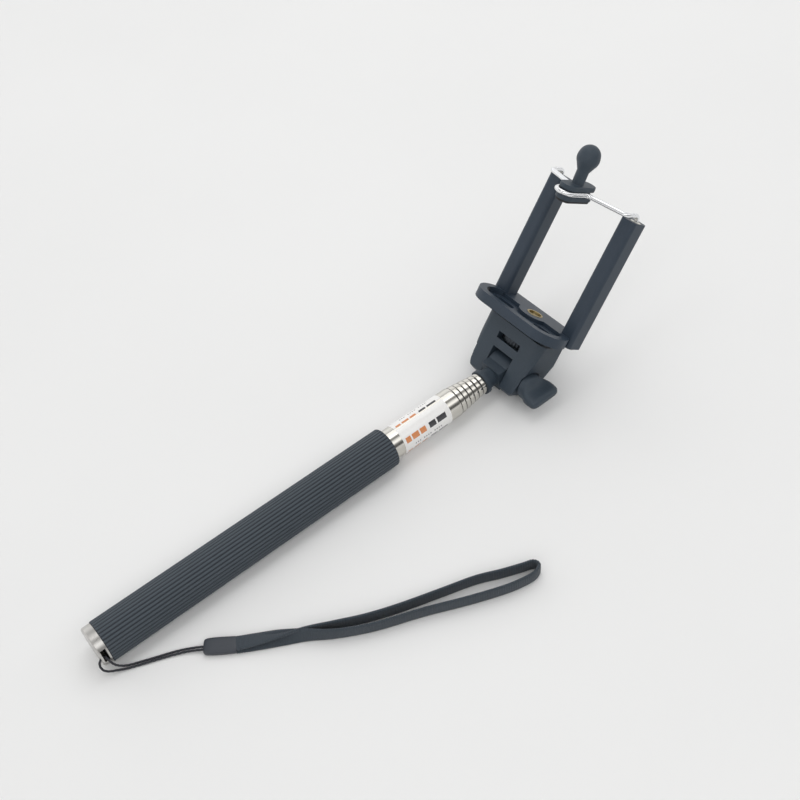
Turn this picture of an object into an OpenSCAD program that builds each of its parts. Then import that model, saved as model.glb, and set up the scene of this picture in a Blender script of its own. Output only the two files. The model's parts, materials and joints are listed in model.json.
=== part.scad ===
// Telescoping hand stick with a tilting head and a sprung clip for a phone.
// The stick lies along +Y on the plane z = 0, pushed together, with the head tilted up.

/* [Grip and end cap] */
// Outer diameter of the ribbed grip
grip_d = 20; // [18:0.5:26]
// Length of the grip
grip_len = 157; // [120:1:200]
// Number of grooves round the grip
grip_grooves = 36; // [24:2:48]
// Depth of each groove
groove_depth = 0.5; // [0.2:0.1:0.8]
// Length of the steel end cap
cap_len = 4.3; // [4:0.1:6]
// Outer diameter of the end cap
cap_d = 19.2; // [17.8:0.1:20]

/* [Telescoping tube] */
// Number of tube sections
sections = 7; // [7]
// Outer diameter of the fixed section
tube_d = 15.5; // [15:0.1:17]
// Loss of diameter from one section to the next
section_step = 0.72; // [0.7:0.02:0.9]
// Wall of every section
tube_wall = 0.2; // [0.15:0.01:0.22]
// Place of the fixed section's mouth, from the cap's end
first_mouth = 203; // [190:1:240]
// How far each closed section stands out of the one before it
mouth_pitch = 3; // [2.5:0.1:4]
// Travel of each section
stroke = 143; // [80:1:150]
// Length of the paper label
label_len = 29; // [10:1:32]

/* [Tilting head] */
// Angle of the clip's posts above the line of the stick, at rest
tilt_rest = 53; // [0:1:90]
// Distance from the neck's flange to the tilt axis
neck_len = 16; // [16:0.5:22]
// Width of the tongue that the head turns on
tongue_w = 12.4; // [10:0.1:12.4]
// Half width of the head at its top
hood_half_w = 19.5; // [19.5:0.1:21]
// Height of the head above the tilt axis
hood_top = 22.5; // [22:0.1:24]
// Distance of the head's front face from the tilt axis
hood_front = 7; // [6.8:0.1:7.5]
// Distance of the mounting stud behind the tilt axis
stud_back = 3; // [2.5:0.1:3.5]
// Diameter of the mounting stud
stud_d = 6.35; // [6.35]
// Diameter of the knurled wheel that turns the stud
wheel_d = 18; // [16:0.5:18]
// Half length of the wing on the clamp knob
wing_half = 8.7; // [7:0.1:10]
// Reach of the clamp knob from the middle of the head
wing_reach = 30.5; // [28:0.5:34]

/* [Phone clip] */
// Distance between the middles of the two posts
post_gap = 47; // [46:0.1:50]
// Height of each post
post_len = 67.5; // [66:0.5:90]
// Width of a post across the clip
post_w = 8.6; // [8.4:0.1:9]
// Depth of a post, front to back
post_deep = 11; // [10:0.1:12]
// Reach of the lower lip in front of the stud
lip_reach = 22; // [21:0.5:26]
// Half width of the lower plate
base_half_w = 28; // [27.8:0.1:32]
// Distance between the middles of the wire's two legs
leg_gap = 49; // [48.4:0.1:49.4]
// Diameter of the bent wire
wire_d = 2.3; // [2:0.1:2.4]
// Droop of the wire and the jaw towards the front
jaw_droop = 6; // [0:1:12]
// Reach of the wire in front of the posts
wire_reach = 31.5; // [31:0.5:34]
// Diameter of the pull ball
ball_d = 11; // [10:0.1:12]

/* [Wrist strap] */
// Diameter of the thin string
string_d = 1.1; // [0.8:0.1:1.4]
// Width of the woven strap
strap_w = 7.2; // [5:0.1:7.2]
// Thickness of the woven strap
strap_t = 1.7; // [1:0.1:1.7]

/* [Hidden] */
$fn = 64;
eps = 0.01;
running_gap = 0.04;
turning_gap = 0.02;
fit_gap = 0.05;
moving_gap = 0.3;

// Where the row's origin stands, seen from the middle of the cap's end
origin_x = 1.3;
origin_y = 151.5;
axis_z = grip_d / 2;

// Tube sections, counted from 1
function tube_r(k) = tube_d / 2 - (k - 1) * section_step / 2;
function bore_r(k) = tube_r(k) - tube_wall;
function mouth_y(k) = first_mouth + (k - 1) * mouth_pitch;
rear_pitch = 6;
function rear_y(k) = cap_len + (k - 1) * rear_pitch;
mouth_lip = 0.8;
bush_flange = 1;
bush_plug = 4;
bush_wall = 0.8;
function bush_out_r(k) = bore_r(k - 1) - running_gap;
function sleeve_len(k) = mouth_y(k - 1) - mouth_lip - rear_y(k) - stroke;
tip_y = mouth_y(sections);
label_y = first_mouth - 7 - label_len;
label_t = 0.08;

// Head
flange_len = 2;
pivot_y = tip_y + neck_len;
hood_r = axis_z;
bolt_r = 2;
tongue_r = 7;
slot_half_w = 6.9;
slot_top = 8.4;
slot_back = 7.4;
wheel_z = 13;
wheel_t = 3.2;
wheel_room = 0.5;
wing_start = 16.8;
hub_r = 7;

// Clip, measured upwards from the tilt axis along the posts
base_z = 27;
floor_t = 2.2;
strip_t = 4;
lip_h = 5;
lip_t = 4;
post_back = 2.6;
post_top = base_z + post_len;
spring_r = 2.4;
post_bore_r = 2.6;
bush_len = 4;
leg_low = 33;
stop_len = 2.4;
wire_r = wire_d / 2;
elbow_r = 2.4;
corner_r = 3;
corner_turn = 73;
loop_r = 4.2;
elbow_z = post_top + 0.4;
plane_z = elbow_z + elbow_r * cos(jaw_droop)
    + elbow_r * (1 + sin(jaw_droop)) * tan(jaw_droop);
inward_run = (leg_gap / 2 - loop_r - 2 * corner_r * (1 - cos(corner_turn))) / sin(corner_turn);
corner_1 = 7.4;
corner_2 = corner_1 + 2 * corner_r * sin(corner_turn) + inward_run * cos(corner_turn);
loop_at = wire_reach - loop_r;
jaw_mid = 19.6;
jaw_half_len = 11;
jaw_half_w = 4.4;
flange_t = 2.4;
groove_room = 0.1;
jaw_neck_w = 2 * (loop_r - wire_r);
pad_t = 1;
stem_d = 5.8;
ball_up = 16.4;
insert_r = 4.2;

// Strap: the ferrule's middle, heading and size
ferrule_at = [31, 43, 0];
ferrule_turn = 53;
ferrule_size = [14, 8, 3.4];

// Route of the string, a loop from the ferrule through the cap and back
STRING_ROUTE = [
    [26.6, 37.6, 1.7], [22.8, 32.4, 1.2], [19.6, 26.8, 0.8], [17, 20.6, 0.8], [14.4, 14.4, 0.8],
    [12.3, 9.4, 0.9], [11.4, 6.4, 2.2], [10.9, 4.2, 4.8], [10.5, 2.9, 7.8], [9.7, 2.3, 10.4],
    [8.3, 1.9, 11], [7, 1, 9.8], [6.9, -0.8, 8.2], [7.7, -1.7, 6.2], [8.9, -1.3, 4.2],
    [10.2, 0.4, 3], [11.3, 3.2, 2], [12.9, 7.2, 1], [15.3, 13, 0.8], [18, 19.6, 0.8],
    [20.8, 26, 0.8], [24, 31.8, 1.2], [27.8, 36.8, 1.7]
];

// Route of the strap's middle line, each point with its roll: 0 lies flat, 90 stands on edge
STRAP_ROUTE = [
    [35.6, 48.6, 0.95, 0], [40, 55.6, 1.4, 15], [46.4, 65.4, 2.6, 40], [52.4, 73.4, 3.5, 70],
    [59.4, 81.6, 3.7, 85], [65.4, 90.8, 3.7, 90], [70.6, 100.8, 3.7, 90], [78, 118.5, 3.7, 90],
    [86.6, 136.6, 3.7, 90], [93, 151.8, 3.7, 90], [95.6, 160.6, 3.7, 90], [96.4, 166.6, 3.7, 90],
    [94.8, 170.6, 3.7, 90], [91.8, 169.8, 3.7, 90], [89.8, 165, 3.7, 90], [86, 156.2, 3.7, 90],
    [80.8, 145.4, 3.7, 90], [75.6, 130, 3.7, 90], [69.4, 112, 3.7, 90], [63.6, 98, 3.7, 90],
    [57, 86, 3.7, 85], [50.2, 75, 3.7, 70], [44.8, 66.2, 3.3, 35], [39.6, 56.2, 3, 12],
    [35.4, 48.8, 2.65, 0]
];

// Places

// The whole part: from the cap's end to the row's origin
module placed() {
    translate([-origin_x, -origin_y, 0])
        children();
}

// Along the stick: the children's z runs along +Y from y
module along(y) {
    placed()
        translate([0, y, axis_z])
            rotate([-90, 0, 0])
                children();
}

// The head: z runs up along the posts, -y is the front, the origin is on the tilt axis
module in_head() {
    placed()
        translate([0, pivot_y, axis_z])
            rotate([tilt_rest - 90, 0, 0])
                children();
}

// The clip: as the head, with the mounting stud on the z axis
module in_clip() {
    in_head()
        translate([0, stud_back, 0])
            children();
}

// The wire's plane: forwards is -y, from the line of the post tops
module in_wire_plane() {
    in_clip()
        translate([0, post_back, plane_z])
            rotate([jaw_droop, 0, 0])
                children();
}

// Shapes

module ring(outer_r, inner_r, len) {
    difference() {
        cylinder(r = outer_r, h = len);
        translate([0, 0, -eps])
            cylinder(r = inner_r, h = len + 2 * eps);
    }
}

module rounded_rect(w, d, r) {
    square([w - 2 * r, d], center = true);
    square([w, d - 2 * r], center = true);
    for (sx = [-1, 1], sy = [-1, 1])
        translate([sx * (w / 2 - r), sy * (d / 2 - r)])
            circle(r = r);
}

module bar(w, d, r, len) {
    linear_extrude(height = len)
        rounded_rect(w, d, r);
}

// Rod along X, from x1 to x2
module cross_rod(r, x1, x2) {
    translate([x1, 0, 0])
        rotate([0, 90, 0])
            cylinder(r = r, h = x2 - x1);
}

// Extrude an outline drawn in (y, z) along X
module across(x1, x2) {
    translate([x1, 0, 0])
        rotate([90, 0, 90])
            linear_extrude(height = x2 - x1)
                children();
}

// Extrude an outline drawn in (x, z) along Y
module front_to_back(y1, y2) {
    translate([0, y2, 0])
        rotate([90, 0, 0])
            linear_extrude(height = y2 - y1)
                children();
}

// Grip and end cap

module end_cap() {
    cap_r = cap_d / 2;
    wall = 0.5;
    color("silver")
        along(0)
            difference() {
                union() {
                    translate([0, 0, wall])
                        cylinder(r = cap_r, h = cap_len - wall);
                    cylinder(r1 = cap_r - wall, r2 = cap_r, h = wall);
                }
                translate([0, 0, wall])
                    cylinder(r = cap_r - wall, h = cap_len);
                // Slot in the side, where the string goes in
                rotate([0, 0, -16])
                    translate([0, -3.2, 0.9])
                        cube([cap_r + 1, 6.4, 2.6]);
                // Slot in the end, where the string comes out
                translate([6.95, 1, 0])
                    cube([2, 4.4, 3], center = true);
            }
}

module cap_plug() {
    flange = 1;
    spigot = 4;
    color("dimgray")
        along(cap_len - flange) {
            cylinder(r = cap_d / 2 - 0.5, h = flange);
            translate([0, 0, flange])
                ring(bore_r(1), bore_r(1) - 1.2, spigot);
        }
}

module grip() {
    color([0.16, 0.17, 0.19])
        along(cap_len)
            linear_extrude(height = grip_len)
                difference() {
                    circle(d = grip_d);
                    circle(r = tube_r(1));
                    for (i = [0 : grip_grooves - 1])
                        rotate(i * 360 / grip_grooves)
                            translate([grip_d / 2 + 0.1, 0])
                                circle(r = groove_depth + 0.1, $fn = 16);
                }
}

module label() {
    color("white")
        along(label_y)
            ring(tube_r(1) + label_t, tube_r(1), label_len);
}

// Telescoping tube

module tube(k) {
    len = mouth_y(k) - rear_y(k);
    lip_r = k < sections ? tube_r(k + 1) + running_gap : bore_r(k);
    edge = 0.3;
    color([0.78, 0.77, 0.74])
        along(rear_y(k))
            rotate_extrude()
                polygon([
                    [bore_r(k), 0], [tube_r(k), 0], [tube_r(k), len - edge],
                    [tube_r(k) - edge / 3, len], [lip_r, len], [lip_r, len - mouth_lip],
                    [bore_r(k), len - mouth_lip]
                ]);
}

module bush(k) {
    out_r = bush_out_r(k);
    // The last section turns on its bush, and the others grip theirs
    fit = k == sections ? turning_gap : 0;
    color("whitesmoke")
        along(rear_y(k)) {
            // Flange behind the section's end
            translate([0, 0, -bush_flange])
                ring(out_r, bore_r(k) - bush_wall, bush_flange - fit);
            // Plug inside the section
            translate([0, 0, -bush_flange])
                ring(bore_r(k) - fit, bore_r(k) - bush_wall, bush_flange + bush_plug);
            // Sleeve round the section, which stops it at the mouth in front
            translate([0, 0, -bush_flange])
                ring(out_r, tube_r(k) + fit, bush_flange + sleeve_len(k));
        }
}

// Neck that closes the last section and carries the tilt tongue
module neck() {
    spigot = 12;
    tongue_from = 7;
    color([0.2, 0.21, 0.24]) {
        difference() {
            union() {
                along(tip_y - spigot)
                    cylinder(r = bore_r(sections), h = spigot);
                along(tip_y)
                    cylinder(r = tube_r(sections) + 0.8, h = flange_len);
                along(tip_y + flange_len)
                    cylinder(r1 = tube_r(sections) - 0.2, r2 = tube_r(sections) - 1, h = tongue_from);
                placed()
                    translate([0, pivot_y, axis_z]) {
                        cross_rod(tongue_r, -tongue_w / 2, tongue_w / 2);
                        translate([-tongue_w / 2, tongue_from - neck_len, -tongue_r + 1.4])
                            cube([tongue_w, neck_len - tongue_from, 2 * tongue_r - 2.8]);
                    }
            }
            placed()
                translate([0, pivot_y, axis_z])
                    cross_rod(bolt_r + fit_gap, -tongue_w, tongue_w);
            placed()
                translate([0, tip_y - 7, axis_z])
                    cross_rod(0.8, -tube_r(1), tube_r(1));
        }
    }
}

// Pin that holds the neck in the last section
module neck_pin() {
    color("gainsboro")
        placed()
            translate([0, tip_y - 7, axis_z])
                cross_rod(0.8, -bore_r(sections) + 0.1, bore_r(sections) - 0.1);
}

// Tilting head

module hood_side_outline() {
    intersection() {
        circle(r = hood_r, $fn = 96);
        translate([-hood_front, -hood_r])
            square([hood_front + hood_r, 2 * hood_r]);
    }
    polygon([
        [-hood_front, hood_top], [-hood_front, 0], [hood_r, 0], [11.4, 13], [13, 20], [13, hood_top]
    ]);
}

module hood_front_outline() {
    corner = 7;
    low_half = 16;
    polygon([
        [-hood_half_w, hood_top], [-hood_half_w + 0.8, 13], [-low_half, corner - hood_r],
        [low_half, corner - hood_r], [hood_half_w - 0.8, 13], [hood_half_w, hood_top]
    ]);
    for (side = [-1, 1])
        translate([side * (low_half - corner), corner - hood_r])
            circle(r = corner);
    translate([corner - low_half, -hood_r])
        square([2 * (low_half - corner), corner]);
}

module hood() {
    back = 13;
    deep = hood_front + back;
    color([0.22, 0.23, 0.26])
        in_head()
            difference() {
                intersection() {
                    across(-hood_half_w, hood_half_w)
                        hood_side_outline();
                    front_to_back(-hood_front, back)
                        hood_front_outline();
                    translate([0, (back - hood_front) / 2, -hood_r])
                        bar(2 * hood_half_w, deep, 4.5, hood_r + hood_top);
                }
                // Slot for the tongue, open at the front and the bottom
                translate([-slot_half_w, -2 * hood_r, -2 * hood_r])
                    cube([2 * slot_half_w, 2 * hood_r + slot_back, 2 * hood_r + slot_top]);
                // Bore for the tilt bolt, and the pocket for its head
                cross_rod(bolt_r + fit_gap, -2 * hood_half_w, 2 * hood_half_w);
                cross_rod(4.2, -2 * hood_half_w, -13);
                // Flat round each end of the bolt
                cross_rod(hub_r + 0.6, wing_start - moving_gap, 2 * hood_half_w);
                cross_rod(hub_r + 0.6, -2 * hood_half_w, moving_gap - wing_start);
                // Room for the wheel, with a window at the front and a mouth at the back
                translate([0, stud_back, wheel_z - wheel_room])
                    cylinder(d = wheel_d + 1, h = wheel_t + 2 * wheel_room);
                translate([-7.5, -2 * hood_r, wheel_z - 0.1])
                    cube([15, 2 * hood_r - 2.5, wheel_t + 0.2]);
                translate([-wheel_d / 2 - 0.5, stud_back, wheel_z - wheel_room])
                    cube([wheel_d + 1, 2 * hood_r, wheel_t + 2 * wheel_room]);
                // Bore for the stud
                translate([0, stud_back, wheel_z])
                    cylinder(d = stud_d + 2 * fit_gap, h = hood_top);
            }
}

module tilt_bolt() {
    color("silver")
        in_head() {
            cross_rod(bolt_r, -13, 25);
            translate([-15.6, 0, 0])
                rotate([0, 90, 0])
                    cylinder(r = 3.9, h = 2.6, $fn = 6);
        }
}

module friction_washers() {
    color("black")
        in_head()
            for (side = [-1, 1])
                difference() {
                    cross_rod(5.6, side > 0 ? tongue_w / 2 + fit_gap : -slot_half_w,
                        side > 0 ? slot_half_w : -tongue_w / 2 - fit_gap);
                    cross_rod(bolt_r + fit_gap, -hood_half_w, hood_half_w);
                }
}

// Soft disc between the head and the clip
module top_pad() {
    color([0.12, 0.12, 0.13])
        in_clip()
            translate([0, 0, hood_top])
                ring(9.4, stud_d / 2 + 0.3, base_z - moving_gap - hood_top);
}

module wing_knob() {
    hub_end = 20.5;
    wing_end_r = 2.6;
    color([0.2, 0.21, 0.24])
        in_head()
            rotate([90 - tilt_rest, 0, 0])
                difference() {
                    union() {
                        cross_rod(hub_r, wing_start, hub_end);
                        intersection() {
                            translate([0, 0, -hub_r])
                                linear_extrude(height = 2 * hub_r) {
                                    polygon([
                                        [hub_end - 1, -hub_r], [hub_end + 2.5, -wing_half],
                                        [wing_reach - wing_end_r, -wing_half],
                                        [wing_reach - wing_end_r, wing_half],
                                        [hub_end + 2.5, wing_half], [hub_end - 1, hub_r]
                                    ]);
                                    translate([wing_reach - wing_end_r - eps, -wing_half + wing_end_r])
                                        square([wing_end_r + eps, 2 * (wing_half - wing_end_r)]);
                                    for (side = [-1, 1])
                                        translate([wing_reach - wing_end_r, side * (wing_half - wing_end_r)])
                                            circle(r = wing_end_r);
                                }
                            front_to_back(-wing_half, wing_half) {
                                polygon([
                                    [hub_end - 1, -5.6], [hub_end + 4, -2.5], [wing_reach - 2, -2.2],
                                    [wing_reach - 2, 2.2], [hub_end + 4, 2.5], [hub_end - 1, 5.6]
                                ]);
                                translate([wing_reach - 2.2, 0])
                                    circle(r = 2.2);
                            }
                        }
                    }
                    cross_rod(bolt_r + fit_gap, wing_start - 1, wing_reach - 4);
                    cross_rod(3.4, wing_start - 1, wing_start + 5.2);
                }
}

module knob_nut() {
    color("goldenrod")
        in_head()
            difference() {
                cross_rod(3.4, wing_start + 0.2, wing_start + 5.2);
                cross_rod(bolt_r + fit_gap, wing_start - 1, wing_start + 6);
            }
}

module mount_stud() {
    color("silver")
        in_clip()
            translate([0, 0, wheel_z])
                cylinder(d = stud_d, h = base_z + strip_t - 1 - wheel_z);
}

module thumbwheel() {
    knurls = 30;
    color("gainsboro")
        in_clip()
            translate([0, 0, wheel_z])
                linear_extrude(height = wheel_t)
                    difference() {
                        circle(d = wheel_d);
                        circle(d = stud_d);
                        for (i = [0 : knurls - 1])
                            rotate(i * 360 / knurls)
                                translate([wheel_d / 2 + 0.2, 0])
                                    circle(r = 0.7, $fn = 16);
                    }
}

// Phone clip

module base_outline(inset) {
    corner = 12;
    back_half_w = 24;
    back = 11;
    translate([0, corner - lip_reach])
        rounded_rect(2 * (base_half_w - inset), 2 * (corner - inset), corner - inset - eps);
    translate([0, -3])
        rounded_rect(2 * (back_half_w - inset), 2 * (back + 3 - inset), 3);
}

module post_outline() {
    rounded_rect(post_w, post_deep, 2.2);
}

module clip_base() {
    boss_r = 8.6;
    strip_front = 2.4;
    color([0.24, 0.25, 0.28])
        in_clip()
            difference() {
                union() {
                    translate([0, 0, base_z])
                        linear_extrude(height = floor_t)
                            base_outline(0);
                    // Strip at the back with the boss for the insert
                    translate([0, 0, base_z])
                        linear_extrude(height = strip_t)
                            intersection() {
                                base_outline(0);
                                union() {
                                    translate([-base_half_w, -strip_front])
                                        square([2 * base_half_w, 14]);
                                    circle(r = boss_r);
                                }
                            }
                    // Lip along the front
                    translate([0, 0, base_z])
                        linear_extrude(height = lip_h)
                            difference() {
                                base_outline(0);
                                base_outline(lip_t);
                                translate([-base_half_w, -strip_front])
                                    square([2 * base_half_w, 20]);
                            }
                }
                // Bore for the insert
                translate([0, 0, base_z - 1])
                    cylinder(r = insert_r, h = strip_t + 2);
                // Sockets for the posts
                for (side = [-1, 1])
                    translate([side * post_gap / 2, post_back, base_z - 1])
                        linear_extrude(height = strip_t + 6)
                            post_outline();
                // Two hollows in the floor
                for (side = [-1, 1])
                    translate([side * 14, -10.6, base_z + 0.8])
                        bar(13, 9, 2, floor_t + 1);
            }
}

module brass_insert() {
    color("goldenrod")
        in_clip()
            translate([0, 0, base_z])
                ring(insert_r, stud_d / 2 + fit_gap, strip_t + 0.2);
}

// Soft strip on the lip
module lip_pad() {
    color([0.1, 0.1, 0.11])
        in_clip()
            translate([0, 0, base_z + floor_t])
                linear_extrude(height = lip_h - floor_t - 0.3)
                    difference() {
                        base_outline(lip_t);
                        base_outline(lip_t + pad_t);
                        translate([-base_half_w, -11])
                            square([2 * base_half_w, 30]);
                    }
}

module post(side) {
    color([0.23, 0.24, 0.27])
        in_clip()
            translate([side * leg_gap / 2, post_back, 0])
                difference() {
                    translate([side * (post_gap - leg_gap) / 2, 0, base_z])
                        linear_extrude(height = post_len)
                            post_outline();
                    translate([0, 0, base_z + 3.4])
                        cylinder(r = post_bore_r, h = post_len);
                    translate([0, 0, base_z - 1])
                        cylinder(r = 0.9, h = 6);
                }
}

// Screws that close the posts from below
module post_screws() {
    color("silver")
        in_clip()
            for (side = [-1, 1])
                translate([side * leg_gap / 2, post_back, base_z]) {
                    cylinder(r = 0.9, h = 3.4);
                    translate([0, 0, -0.9])
                        cylinder(r = 2.2, h = 0.9);
                }
}

module guide_bush(side) {
    color("whitesmoke")
        in_clip()
            translate([side * leg_gap / 2, post_back, post_top - bush_len])
                ring(post_bore_r, wire_r + 0.08, bush_len);
}

// Bent wire: the left half's bends, then the right half mirrored

function arc_points(centre, r, from, to, steps) =
    [for (i = [0 : steps]) let (a = from + (to - from) * i / steps)
        [centre[0] + r * cos(a), centre[1] + r * sin(a)]];

// In the wire's plane: x across, y forwards
flat_half = concat(
    arc_points([corner_r - leg_gap / 2, corner_1], corner_r, 180, 180 - corner_turn, 6),
    arc_points([-loop_r - corner_r, corner_2], corner_r, -corner_turn, 0, 6),
    arc_points([0, loop_at], loop_r, 180, 90, 8)
);

// In the clip: up the elbow, then out along the drooping plane
left_half = concat(
    [for (p = arc_points([elbow_r, 0], elbow_r, 180, 90 - jaw_droop, 7))
        [-leg_gap / 2, post_back - p[0], elbow_z + p[1]]],
    [for (p = flat_half)
        [p[0], post_back - p[1] * cos(jaw_droop), plane_z - p[1] * sin(jaw_droop)]]
);

function mirrored(route) = [for (i = [len(route) - 2 : -1 : 0])
    [-route[i][0], route[i][1], route[i][2]]];

module wire_yoke() {
    color([0.85, 0.86, 0.87])
        in_clip() {
            sweep(concat(left_half, mirrored(left_half)), wire_r, wire_r, 12);
            for (side = [-1, 1])
                translate([side * leg_gap / 2, post_back, leg_low])
                    cylinder(r = wire_r, h = elbow_z - leg_low);
        }
}

module leg_stops() {
    color("silver")
        in_clip()
            for (side = [-1, 1])
                translate([side * leg_gap / 2, post_back, leg_low - 0.6])
                    difference() {
                        cylinder(r = spring_r - 0.1, h = stop_len);
                        translate([0, 0, 0.6])
                            cylinder(r = wire_r, h = stop_len);
                    }
}

// Springs, drawn as their outer sleeves
module spring(side) {
    low = leg_low - 0.6 + stop_len;
    color("gray")
        in_clip()
            translate([side * leg_gap / 2, post_back, low])
                ring(spring_r, wire_r + 0.3, post_top - bush_len - low);
}

module jaw_outline(inset) {
    rounded_rect(2 * (jaw_half_w - inset), 2 * (jaw_half_len - inset), jaw_half_w - inset - eps);
}

module upper_jaw() {
    near = wire_r + groove_room;
    neck_half_len = jaw_half_len - 1.4;
    color([0.22, 0.23, 0.26])
        in_wire_plane()
            translate([0, -jaw_mid, 0]) {
                for (z = [near, -near - flange_t])
                    translate([0, 0, z])
                        linear_extrude(height = flange_t)
                            jaw_outline(0);
                translate([0, 0, -near - eps])
                    linear_extrude(height = 2 * (near + eps))
                        rounded_rect(jaw_neck_w, 2 * neck_half_len, jaw_neck_w / 2 - eps);
                // Stem and pull ball, a little taller than it is wide
                translate([0, -1, 0]) {
                    cylinder(d = stem_d, h = ball_up);
                    translate([0, 0, ball_up - 6.4])
                        cylinder(r1 = stem_d / 2, r2 = ball_d / 2 - 0.85, h = 3.5);
                    translate([0, 0, ball_up])
                        sphere(d = ball_d);
                    translate([0, 0, ball_up + 1])
                        sphere(d = ball_d - 0.5);
                }
            }
}

module jaw_pad() {
    color([0.1, 0.1, 0.11])
        in_wire_plane()
            translate([0, -jaw_mid, -wire_r - groove_room - flange_t - pad_t])
                linear_extrude(height = pad_t)
                    jaw_outline(0.5);
}

// Wrist strap

function ahead(route, i) =
    let (
        a = route[max(i - 1, 0)],
        b = route[min(i + 1, len(route) - 1)],
        d = [b[0] - a[0], b[1] - a[1], b[2] - a[2]]
    )
    d / norm(d);

// A smooth curve through a route's points, with rings between them
function between(route, i, t) =
    let (
        a = route[max(i - 1, 0)],
        b = route[i],
        c = route[min(i + 1, len(route) - 1)],
        d = route[min(i + 2, len(route) - 1)]
    )
    0.5 * (2 * b + (c - a) * t + (2 * a - 5 * b + 4 * c - d) * t * t
        + (3 * b - a - 3 * c + d) * t * t * t);

function smooth(route, steps) = concat(
    [for (i = [0 : len(route) - 2], s = [0 : steps - 1]) between(route, i, s / steps)],
    [route[len(route) - 1]]
);

// One ring round the route: half width u, half thickness v, rolled about the heading
function ring_points(route, i, u, v, sides) =
    let (
        p = route[i],
        roll = len(p) > 3 ? p[3] : 0,
        h = ahead(route, i),
        side = len(p) > 3 ? [-h[1], h[0], 0] : cross([0.5, 0.6, 0.62], h),
        flat = side / norm(side),
        up = cross(h, flat),
        wide = flat * cos(roll) + up * sin(roll),
        thin = cross(h, wide)
    )
    [for (k = [0 : sides - 1])
        [p[0], p[1], p[2]] + wide * u * cos(k * 360 / sides) + thin * v * sin(k * 360 / sides)];

module sweep(route, u, v, sides) {
    n = len(route);
    last = n - 1;
    polyhedron(
        points = [for (i = [0 : last]) each ring_points(route, i, u, v, sides)],
        faces = concat(
            [[for (k = [0 : sides - 1]) k]],
            [for (i = [0 : last - 1], k = [0 : sides - 1])
                let (a = i * sides + k, b = i * sides + (k + 1) % sides)
                [a, a + sides, b + sides, b]],
            [[for (k = [sides - 1 : -1 : 0]) last * sides + k]]
        ),
        convexity = 8
    );
}

module strap_string() {
    color([0.14, 0.14, 0.17])
        placed()
            sweep(smooth(STRING_ROUTE, 2), string_d / 2, string_d / 2, 8);
}

module strap_ferrule() {
    color([0.2, 0.21, 0.24])
        placed()
            translate(ferrule_at)
                rotate([0, 0, ferrule_turn])
                    bar(ferrule_size[0], ferrule_size[1], 2.6, ferrule_size[2]);
}

module strap_loop() {
    color([0.2, 0.22, 0.24])
        placed()
            sweep(STRAP_ROUTE, strap_w / 2, strap_t / 2, 10);
}

end_cap();
cap_plug();
grip();
label();
tube(1);  // tube_1
tube(2);  // tube_2
tube(3);  // tube_3
tube(4);  // tube_4
tube(5);  // tube_5
tube(6);  // tube_6
tube(7);  // tube_7
bush(2);  // bush_2
bush(3);  // bush_3
bush(4);  // bush_4
bush(5);  // bush_5
bush(6);  // bush_6
bush(7);  // bush_7
neck();
neck_pin();
hood();
tilt_bolt();
friction_washers();
top_pad();
wing_knob();
knob_nut();
mount_stud();
thumbwheel();
clip_base();
brass_insert();
lip_pad();
post(-1);  // post_left
post(1);  // post_right
post_screws();
guide_bush(-1);  // guide_bush_left
guide_bush(1);  // guide_bush_right
wire_yoke();
leg_stops();
spring(-1);  // spring_left
spring(1);  // spring_right
upper_jaw();
jaw_pad();
strap_string();
strap_ferrule();
strap_loop();
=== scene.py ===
# %% [markdown]
# # A telescoping hand stick with a sprung phone clip
# The solids of the stick, with its joints, come ready made as a fixed frame. This lesson
# dresses them: finer meshes where a turned, drawn, coiled or woven piece shows its making,
# and a finish for every piece. Lengths are in metres, so millimetres are written as n * MM.

import json
import math

import bmesh
import bpy
import numpy as np
from mathutils import Matrix, Vector

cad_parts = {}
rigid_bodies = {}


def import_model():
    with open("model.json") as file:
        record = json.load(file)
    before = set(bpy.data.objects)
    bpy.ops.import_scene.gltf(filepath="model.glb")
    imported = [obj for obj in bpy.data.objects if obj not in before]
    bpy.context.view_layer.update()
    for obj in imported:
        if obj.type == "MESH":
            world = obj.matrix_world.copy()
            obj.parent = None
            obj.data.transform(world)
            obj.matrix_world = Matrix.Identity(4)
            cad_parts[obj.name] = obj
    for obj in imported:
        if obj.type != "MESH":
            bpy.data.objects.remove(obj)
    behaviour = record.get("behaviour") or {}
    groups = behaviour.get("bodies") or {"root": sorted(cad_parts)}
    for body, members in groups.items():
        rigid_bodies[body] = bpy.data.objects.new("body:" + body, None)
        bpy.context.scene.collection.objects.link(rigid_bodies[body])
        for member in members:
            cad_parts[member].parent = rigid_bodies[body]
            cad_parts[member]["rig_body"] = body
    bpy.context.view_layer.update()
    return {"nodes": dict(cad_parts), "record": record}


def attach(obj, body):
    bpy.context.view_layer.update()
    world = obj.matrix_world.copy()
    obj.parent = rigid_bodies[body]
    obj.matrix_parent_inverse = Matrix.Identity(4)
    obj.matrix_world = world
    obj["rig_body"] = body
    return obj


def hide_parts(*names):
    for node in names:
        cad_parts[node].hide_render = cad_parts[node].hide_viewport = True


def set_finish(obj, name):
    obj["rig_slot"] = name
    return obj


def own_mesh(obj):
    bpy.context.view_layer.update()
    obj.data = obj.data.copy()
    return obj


MM = 0.001
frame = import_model()

# %% [markdown]
# ## The camera
# The object lies on a table and is seen from above its grip's end, with the lens turned a
# little about its own line. Setting the camera from a heading, a height and a roll keeps
# each of them easy to change, and a matrix made of the three directions places it exactly.

# %% Camera
HEADING = math.radians(-56.21)
DOWNWARD = math.radians(48.37)
ROLL = math.radians(-7.14)
AIM = Vector((-20.07, 33.17, 10.0)) * MM
DISTANCE = 568.7 * MM
SENSOR = 36.0
FOCAL = 1151.0 / 800.0 * SENSOR


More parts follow.
